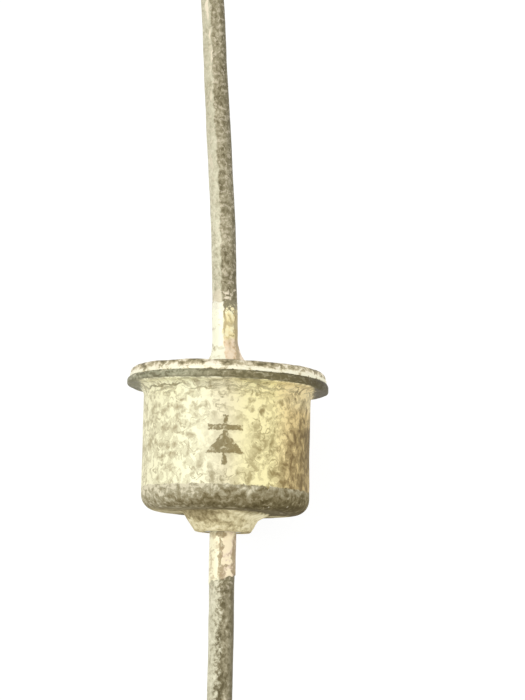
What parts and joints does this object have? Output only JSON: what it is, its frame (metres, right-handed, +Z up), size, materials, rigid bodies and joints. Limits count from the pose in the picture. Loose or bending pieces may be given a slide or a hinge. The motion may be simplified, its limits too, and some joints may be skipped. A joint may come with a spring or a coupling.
{
  "type": "axial-lead rectifier diode",
  "caption": "Round metal-can rectifier diode with a welded flange, a glass-sealed boss and a long wire lead at each end, lying on its side.",
  "frame": {"origin": "on the floor under the diode, midway between the cut ends of its two leads", "axes": "+Y along the diode towards the cathode lead, +X across it, +Z up; the diode lies on its flange and on the tip of the anode lead, so its axis rises 7.8 degrees towards +Y"},
  "size_m": [0.0108, 0.0622, 0.0107],
  "materials": {
    "tin_plated_cap": "drawn steel with cream tin plate, tarnished olive brown in patches",
    "plated_steel_base": "turned steel with dull, tarnished plate",
    "tinned_copper_wire": "copper wire with a dull, mottled tin coat",
    "solder": "satin tin-lead solder",
    "seal_glass": "dark green compression-seal glass",
    "copper": "bare copper",
    "molybdenum": "ground grey metal",
    "silicon": "polished dark grey silicon",
    "silver_plate": "satin silver plate"
  },
  "bodies": {
    "root": {"cap": "tin_plated_cap", "base_disc": "plated_steel_base", "cathode_lead": "tinned_copper_wire", "cathode_solder": "solder", "glass_seal": "seal_glass", "anode_lead": "tinned_copper_wire", "anode_solder": "solder", "spreader_solder": "solder", "heat_spreader": "copper", "buffer_solder": "solder", "buffer_disc": "molybdenum", "chip_solder": "solder", "schottky_chip": "silicon", "button_solder": "solder", "contact_button": "silver_plate", "lead_strap": "copper"}
  },
  "joints": []
}
